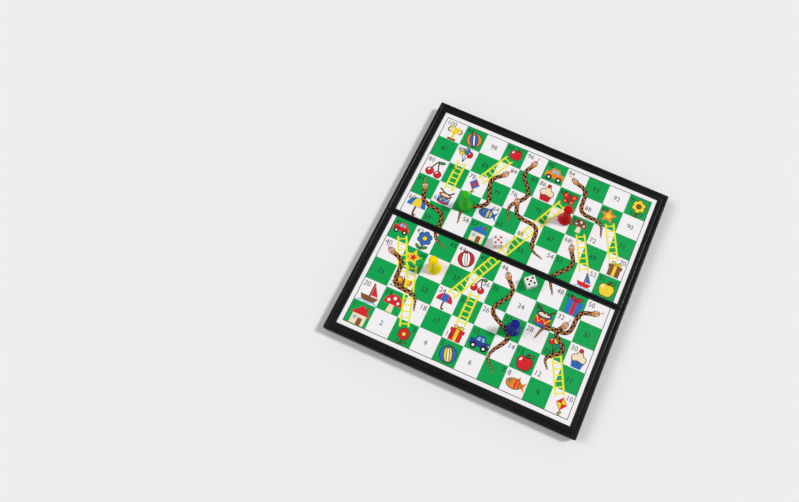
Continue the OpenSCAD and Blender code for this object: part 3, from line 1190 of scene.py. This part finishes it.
class Wiring:
    """A tree of nodes, with a short way to add and join them."""

    def __init__(self, tree: bpy.types.NodeTree) -> None:
        """Takes over the tree of a material, a shared group or the room."""
        self.tree = tree

    def add(self, kind: str, **values: object) -> bpy.types.Node:
        """Adds a node.

        Args:
            kind: The node's type.
            values: Its properties.

        Returns:
            The node.
        """
        node = self.tree.nodes.new(kind)
        for name, value in values.items():
            setattr(node, name, value)
        return node

    def put(self, socket: bpy.types.NodeSocket, value: object) -> None:
        """Gives an input what it takes.

        Args:
            socket: The input.
            value: A socket to join to it, or a plain value.
        """
        if isinstance(value, bpy.types.NodeSocket):
            self.tree.links.new(value, socket)
        else:
            socket.default_value = value

    def feed(self, node: bpy.types.Node, **inputs: object) -> bpy.types.Node:
        """Sets a node's inputs, by name with underscores for spaces.

        Args:
            node: The node.
            inputs: A socket to join, or a plain value, for each input.

        Returns:
            The same node.
        """
        for name, value in inputs.items():
            self.put(node.inputs[name.replace("_", " ")], value)
        return node

    def reckon(self, operation: str, *values: object) -> bpy.types.NodeSocket:
        """Adds a step of arithmetic.

        Args:
            operation: The kind of step.
            values: A socket to join, or a plain value, for each input in turn.

        Returns:
            The step's result.
        """
        node = self.add("ShaderNodeMath", operation=operation)
        for socket, value in zip(node.inputs, values):
            self.put(socket, value)
        return node.outputs[0]


class Shader(Wiring):
    """A material's nodes, with patterns that follow Object coordinates."""

    def __init__(self, name: str) -> None:
        """Makes the material.

        Args:
            name: The material's name.
        """
        self.material = bpy.data.materials.new(name)
        self.material.use_nodes = True
        super().__init__(self.material.node_tree)
        self.bsdf = self.tree.nodes["Principled BSDF"]
        self.place = self.add("ShaderNodeTexCoord").outputs["Object"]

    def group(self, tree: bpy.types.NodeTree, **inputs: object) -> bpy.types.Node:
        """Adds a shared effect with its own values."""
        return self.feed(self.add("ShaderNodeGroup", node_tree=tree), **inputs)

    def bump(self, height: bpy.types.NodeSocket, strength: float, distance: float) -> None:
        """Lets a height shape the surface's normal."""
        node = self.feed(self.add("ShaderNodeBump"), Height=height, Strength=strength, Distance=distance)
        self.feed(self.bsdf, Normal=node.outputs["Normal"])


class Group(Wiring):
    """An effect that several finishes share, with named inputs and outputs."""

    def __init__(self, name: str, inputs: dict[str, str], outputs: dict[str, str]) -> None:
        """Makes an empty group with its sockets.

        Args:
            name: The group's name.
            inputs: Input names and kinds of socket.
            outputs: Output names and kinds of socket.
        """
        super().__init__(bpy.data.node_groups.new(name, "ShaderNodeTree"))
        for side, sockets in (("INPUT", inputs), ("OUTPUT", outputs)):
            for label, kind in sockets.items():
                self.tree.interface.new_socket(label, in_out=side, socket_type=f"NodeSocket{kind}")
        self.source = self.add("NodeGroupInput").outputs
        self.sink = self.add("NodeGroupOutput")

    def noise(self, scale: bpy.types.NodeSocket | float, detail: float) -> bpy.types.NodeSocket:
        """Adds noise that follows the group's Vector.

        Args:
            scale: The noise's scale.
            detail: How many finer layers it has.

        Returns:
            The noise's strength, about a middle of a half.
        """
        node = self.add("ShaderNodeTexNoise")
        self.feed(node, Vector=self.source["Vector"], Scale=scale, Detail=detail)
        return node.outputs["Fac"]


@dataclass
class Effects:
    """Shader node groups that several finishes share."""

    noise_middle: float = 0.5
    drift_detail: float = 4.0
    grain_detail: float = 2.0
    smear_detail: float = 5.0
    smear_scale: float = 45.0

    def __post_init__(self) -> None:
        """Builds each group once."""
        self.drift = self.make_drift()
        self.grain = self.make_grain()

    def make_drift(self) -> bpy.types.NodeTree:
        """Builds the slow drift of a colour over a surface.

        Returns:
            A group that takes Vector, Colour, Scale and Amount, and gives Colour.
        """
        group = Group(
            "colour_drift",
            {"Vector": "Vector", "Colour": "Color", "Scale": "Float", "Amount": "Float"},
            {"Colour": "Color"},
        )
        noise = group.noise(group.source["Scale"], self.drift_detail)
        swing = group.reckon("SUBTRACT", noise, self.noise_middle)
        level = group.reckon("MULTIPLY_ADD", swing, group.source["Amount"], 1.0)
        shade = group.feed(group.add("ShaderNodeHueSaturation"), Value=level, Color=group.source["Colour"])
        group.feed(group.sink, Colour=shade.outputs["Color"])
        return group.tree

    def make_grain(self) -> bpy.types.NodeTree:
        """Builds the fine grain and the faint smears of a moulded or coated surface.

        Returns:
            A group that takes Vector, Scale, Roughness and Spread, and gives Height and Roughness.
        """
        group = Group(
            "surface_grain",
            {"Vector": "Vector", "Scale": "Float", "Roughness": "Float", "Spread": "Float"},
            {"Height": "Float", "Roughness": "Float"},
        )
        fine = group.noise(group.source["Scale"], self.grain_detail)
        slow = group.noise(self.smear_scale, self.smear_detail)
        swing = group.reckon("SUBTRACT", slow, self.noise_middle)
        level = group.reckon("MULTIPLY_ADD", swing, group.source["Spread"], group.source["Roughness"])
        group.feed(group.sink, Height=fine, Roughness=level)
        return group.tree


@dataclass(frozen=True)
class Finish:
    """A finish whose colour drifts a little and whose surface has a fine grain."""

    name: str
    colour: Colour | None
    roughness: float
    roughness_spread: float
    drift: float
    drift_scale: float
    grain_size: float
    grain_depth: float
    specular: float = 0.5
    coat: float = 0.0
    metallic: float = 0.0
    glow_depth: float = 0.0
    glow_weight: float = 0.2
    glow_least: float = 0.25
    bump_strength: float = 0.25
    stretch: tuple[float, float, float] = UNSTRETCHED

    def build(self, effects: Effects) -> bpy.types.Material:
        """Makes the material.

        Args:
            effects: The shared node groups.

        Returns:
            The material.
        """
        shader = Shader(self.name)
        place = shader.place
        if self.stretch != UNSTRETCHED:
            mapping = shader.feed(shader.add("ShaderNodeMapping"), Vector=place, Scale=self.stretch)
            place = mapping.outputs["Vector"]
        if self.colour is None:
            colour = shader.add("ShaderNodeVertexColor", layer_name=INK_LAYER).outputs["Color"]
        else:
            colour = (*self.colour, 1.0)
        drift = shader.group(
            effects.drift, Vector=place, Colour=colour, Scale=self.drift_scale, Amount=self.drift,
        )
        grain = shader.group(
            effects.grain, Vector=place, Scale=1 / self.grain_size,
            Roughness=self.roughness, Spread=self.roughness_spread,
        )
        shader.feed(
            shader.bsdf, Base_Color=drift.outputs["Colour"], Roughness=grain.outputs["Roughness"],
            Metallic=self.metallic, Specular_IOR_Level=self.specular, Coat_Weight=self.coat,
        )
        if self.glow_depth:
            shader.feed(
                shader.bsdf, Subsurface_Weight=self.glow_weight, Subsurface_Scale=self.glow_depth,
                Subsurface_Radius=tuple(self.glow_least + (1 - self.glow_least) * c for c in self.colour),
            )
        shader.bump(grain.outputs["Height"], self.bump_strength, self.grain_depth)
        return shader.material


CASE = Finish(
    "case_black", linear("#050609"), roughness=0.28, roughness_spread=0.16, drift=0.25, drift_scale=60.0,
    grain_size=0.28 * MM, grain_depth=0.03 * MM, specular=0.4,
)
SHEET = Finish(
    "laminated_print", None, roughness=0.36, roughness_spread=0.1, drift=0.08, drift_scale=400.0,
    grain_size=1.2 * MM, grain_depth=0.01 * MM, specular=0.25,
)
PLATE = Finish(
    "tinned_steel", linear("#c9cacc"), roughness=0.32, roughness_spread=0.2, drift=0.1, drift_scale=80.0,
    grain_size=0.3 * MM, grain_depth=0.02 * MM, metallic=1.0, stretch=(1.0, 0.04, 1.0),
)
PIN = Finish(
    "pin_steel", linear("#cfd0d2"), roughness=0.28, roughness_spread=0.15, drift=0.1, drift_scale=200.0,
    grain_size=0.1 * MM, grain_depth=0.01 * MM, metallic=1.0, stretch=(0.05, 1.0, 1.0),
)
MAGNET = Finish(
    "ferrite", linear("#4a4a4c"), roughness=0.7, roughness_spread=0.2, drift=0.3, drift_scale=300.0,
    grain_size=0.15 * MM, grain_depth=0.03 * MM,
)
DIE = Finish(
    "die_white", linear("#f4f2ee"), roughness=0.2, roughness_spread=0.1, drift=0.03, drift_scale=120.0,
    grain_size=0.8 * MM, grain_depth=0.006 * MM, coat=0.3, glow_depth=1.2 * MM,
)
FLOOR = Finish(
    "floor_paper", linear("#f2f3f4"), roughness=0.8, roughness_spread=0.05, drift=0.02, drift_scale=8.0,
    grain_size=1.0 * MM, grain_depth=0.02 * MM,
)


def pip_finish(name: str, code: str) -> Finish:
    """Describes the paint in a die's pips.

    Args:
        name: The finish's name.
        code: Its colour code.

    Returns:
        The finish.
    """
    return Finish(
        name, linear(code), roughness=0.3, roughness_spread=0.12, drift=0.15, drift_scale=300.0,
        grain_size=0.2 * MM, grain_depth=0.01 * MM,
    )


RED_PIP = pip_finish("pip_red", "#c01734")
BLACK_PIP = pip_finish("pip_black", "#161616")


def pawn_finish(name: str, code: str, glow_depth: float) -> Finish:
    """Describes the glossy plastic of one pawn.

    Args:
        name: The finish's name.
        code: Its colour code.
        glow_depth: How far light runs through the plastic.

    Returns:
        The finish.
    """
    return Finish(
        name, linear(code), roughness=0.14, roughness_spread=0.06, drift=0.08, drift_scale=90.0,
        grain_size=0.9 * MM, grain_depth=0.008 * MM, specular=0.05, glow_depth=glow_depth,
    )


PAWNS = {
    "green": pawn_finish("pawn_green", "#36bb26", 2.0 * MM),
    "red": pawn_finish("pawn_red", "#cf0f1a", 1.0 * MM),
    "yellow": pawn_finish("pawn_yellow", "#ffdd00", 2.0 * MM),
    "blue": pawn_finish("pawn_blue", "#1b268e", 0.6 * MM),
}


def dress(node: str, material: bpy.types.Material) -> None:
    """Gives a CAD node its finish.

    Args:
        node: The node's name.
        material: Its finish.
    """
    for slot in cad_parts[node].material_slots:
        slot.material = material
    LOG.info("%s: %s", node, material.name)


@dataclass(frozen=True)
class Pawn:
    """A turned pawn: a rounded foot with the magnet's pocket, a flared body, a neck and a ball head."""

    colour: str
    foot_height: float = 4.4 * MM
    neck_radius: float = 3.2 * MM
    head_radius: float = 4.3 * MM
    neck_fillet: float = 1.5 * MM
    pocket_gap: float = 0.05 * MM
    seam_height: float = 0.03 * MM
    gate_radius: float = 0.8 * MM
    gate_depth: float = 0.1 * MM
    steps: int = 96

    def profile(self, foot_radius: float, height: float, pocket: Point) -> list[Point]:
        """Draws half the section, from the roof of the pocket to the top of the head.

        Args:
            foot_radius: Outer radius of the foot.
            height: Height of the pawn.
            pocket: Radius and depth of the magnet's pocket.

        Returns:
            Points as radius and height.
        """
        edge = self.foot_height / 2
        foot_x = foot_radius - edge
        head_z = height - self.head_radius
        fillet_x = self.neck_radius + self.neck_fillet
        reach = self.head_radius + self.neck_fillet
        waist_z = head_z - math.sqrt(reach ** 2 - fillet_x ** 2)
        rise = waist_z - edge
        taper = foot_radius - self.neck_radius
        flare = ((self.neck_radius - foot_x) ** 2 + rise ** 2 - edge ** 2) / (2 * taper)
        lean = math.degrees(math.atan2(rise, self.neck_radius + flare - foot_x))
        chin = math.degrees(math.atan2(head_z - waist_z, -fillet_x))
        gate = math.degrees(math.acos(self.gate_radius / self.head_radius))
        gate_z = head_z + self.head_radius * math.sin(math.radians(gate)) - self.gate_depth
        return [
            (0, pocket[1]), pocket, (pocket[0], 0),
            *arc(foot_x, edge, edge, -90, lean),
            *arc(self.neck_radius + flare, waist_z, flare, lean + 180, 180)[1:],
            *arc(fillet_x, waist_z, self.neck_fillet, 180, chin)[1:],
            *arc(0, head_z, self.head_radius, chin - 180, gate)[1:],
            (self.gate_radius - self.gate_depth, gate_z), (0, gate_z),
        ]

    def build(self, material: bpy.types.Material) -> None:
        """Turns the pawn in the place of its solid.

        Args:
            material: The pawn's finish.
        """
        node = f"{self.colour}_pawn"
        low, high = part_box(node)
        magnet_low, magnet_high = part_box(f"{node}_magnet")
        pocket = ((magnet_high.x - magnet_low.x) / 2 + self.pocket_gap, magnet_high.z - magnet_low.z)
        foot_radius = (high.x - low.x) / 2
        points = self.profile(foot_radius, high.z - low.z, pocket)
        mesh = bmesh.new()
        rail = [mesh.verts.new((r, 0, z)) for r, z in points]
        edges = [mesh.edges.new(pair) for pair in zip(rail, rail[1:])]
        bmesh.ops.spin(
            mesh, geom=rail + edges, cent=(0, 0, 0), axis=(0, 0, 1), angle=2 * math.pi,
            steps=self.steps, use_merge=True,
        )
        bmesh.ops.remove_doubles(mesh, verts=mesh.verts[:], dist=MICRON)
        bmesh.ops.recalc_face_normals(mesh, faces=mesh.faces[:])
        for vert in mesh.verts:
            if abs(vert.co.y) < MICRON < abs(vert.co.x) and vert.co.z > self.foot_height:
                vert.co.x += math.copysign(self.seam_height, vert.co.x)
        for face in mesh.faces:
            face.smooth = face.calc_center_median().z > MICRON
        centre = (low + high) / 2
        bmesh.ops.translate(mesh, verts=mesh.verts[:], vec=(centre.x, centre.y, low.z))
        piece = add_object(f"{node}_turned", mesh, material)
        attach(piece, f"{self.colour}_player")
        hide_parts(node)


@dataclass(frozen=True)
class PhotoCamera:
    """The camera of the photograph, which looks down on the open board."""

    azimuth: float = 12.9
    elevation: float = 73.0
    roll: float = 11.0
    distance: float = 579.0 * MM
    focal_px: float = 627.0
    middle_px: Point = (503.8, 258.6)
    image_px: Point = (799.0, 502.0)
    sensor: float = 36.0
    clip_start: float = 10.0 * MM

    def place(self, target: Vector) -> None:
        """Adds the camera and makes it the scene's own.

        Args:
            target: The point of the board at the middle of the lens.
        """
        wide, high = self.image_px
        data = bpy.data.cameras.new("photo_camera")
        data.sensor_width = self.sensor
        data.lens = self.focal_px * self.sensor / wide
        data.shift_x = (wide / 2 - self.middle_px[0]) / wide
        data.shift_y = (self.middle_px[1] - high / 2) / wide
        data.clip_start = self.clip_start
        camera = bpy.data.objects.new("photo_camera", data)
        bpy.context.scene.collection.objects.link(camera)
        a, e = math.radians(self.azimuth), math.radians(self.elevation)
        back = Vector((math.sin(a) * math.cos(e), -math.cos(a) * math.cos(e), math.sin(e)))
        level = (-back).to_track_quat("-Z", "Y").to_matrix()
        turn = level @ Matrix.Rotation(math.radians(self.roll), 3, "Z")
        camera.matrix_world = Matrix.Translation(target + back * self.distance) @ turn.to_4x4()
        bpy.context.scene.camera = camera


@dataclass(frozen=True)
class SoftLamp:
    """A far, wide studio lamp that lights everything alike."""

    name: str
    bearing: float
    height: float
    spread: float
    strength: float

    def place(self) -> None:
        """Adds the lamp, aimed from its bearing and height, both in degrees."""
        data = bpy.data.lights.new(self.name, "SUN")
        data.angle = math.radians(self.spread)
        data.energy = self.strength
        lamp = bpy.data.objects.new(self.name, data)
        lamp.rotation_euler = (math.radians(90 - self.height), 0, math.radians(self.bearing))
        bpy.context.scene.collection.objects.link(lamp)


@dataclass
class Studio:
    """The pale floor and the soft light round the board."""

    floor_reach: float = 8.0
    floor_drop: float = 0.05 * MM
    sky_low: float = 0.8
    sky_high: float = 0.25
    sky_turn: float = 0.5
    lamps: Sequence[SoftLamp] = (
        SoftLamp("key", bearing=120.0, height=52.0, spread=10.0, strength=1.75),
        SoftLamp("fill", bearing=-75.0, height=46.0, spread=28.0, strength=0.95),
    )

    def build(self, effects: Effects) -> None:
        """Adds the floor, the lamps and the even light of the room.

        Args:
            effects: The shared node groups.
        """
        mesh = bmesh.new()
        bmesh.ops.create_grid(mesh, x_segments=1, y_segments=1, size=self.floor_reach)
        bmesh.ops.translate(mesh, verts=mesh.verts[:], vec=(0, 0, -self.floor_drop))
        add_object("floor", mesh, FLOOR.build(effects))
        for lamp in self.lamps:
            lamp.place()
        self.light_room()
        bpy.context.scene.view_settings.view_transform = "Standard"

    def light_room(self) -> None:
        """Makes a room that is pale at the horizon and darker overhead."""
        world = bpy.data.worlds.new("room")
        world.use_nodes = True
        wiring = Wiring(world.node_tree)
        place = wiring.add("ShaderNodeTexCoord").outputs["Generated"]
        parts = wiring.feed(wiring.add("ShaderNodeSeparateXYZ"), Vector=place)
        level = wiring.feed(
            wiring.add("ShaderNodeMapRange"), Value=parts.outputs["Z"], From_Max=self.sky_turn,
            To_Min=self.sky_low, To_Max=self.sky_high,
        )
        background = world.node_tree.nodes["Background"]
        wiring.feed(background, Color=(1.0, 1.0, 1.0, 1.0), Strength=level.outputs["Result"])
        bpy.context.scene.world = world


def dress_nodes(effects: Effects) -> None:
    """Gives every CAD node its finish.

    Args:
        effects: The shared node groups.
    """
    halves = ("lower", "upper")
    worn = {
        CASE: [f"{half}_case" for half in halves],
        PLATE: [f"{half}_steel_plate" for half in halves],
        PIN: ["left_hinge_pin", "right_hinge_pin"],
        MAGNET: [f"{colour}_pawn_magnet" for colour in PAWNS],
        DIE: ["red_pip_die", "black_pip_die"],
        RED_PIP: ["red_die_pips"],
        BLACK_PIP: ["black_die_pips"],
    }
    for finish, nodes in worn.items():
        material = finish.build(effects)
        for node in nodes:
            dress(node, material)


def main() -> None:
    """Builds the looks in order: camera, studio, finishes, pawns and print."""
    logging.basicConfig(level=logging.INFO, format="%(message)s")
    board = Board()
    effects = Effects()
    PhotoCamera().place(Vector((0, 0, board.top)))
    Studio().build(effects)
    dress_nodes(effects)
    for colour, finish in PAWNS.items():
        Pawn(colour).build(finish.build(effects))
    print_finish = SHEET.build(effects)
    sheets = PlaySheets(board)
    for half in Half:
        sheets.build(half, print_finish)


if __name__ == "__main__":
    main()
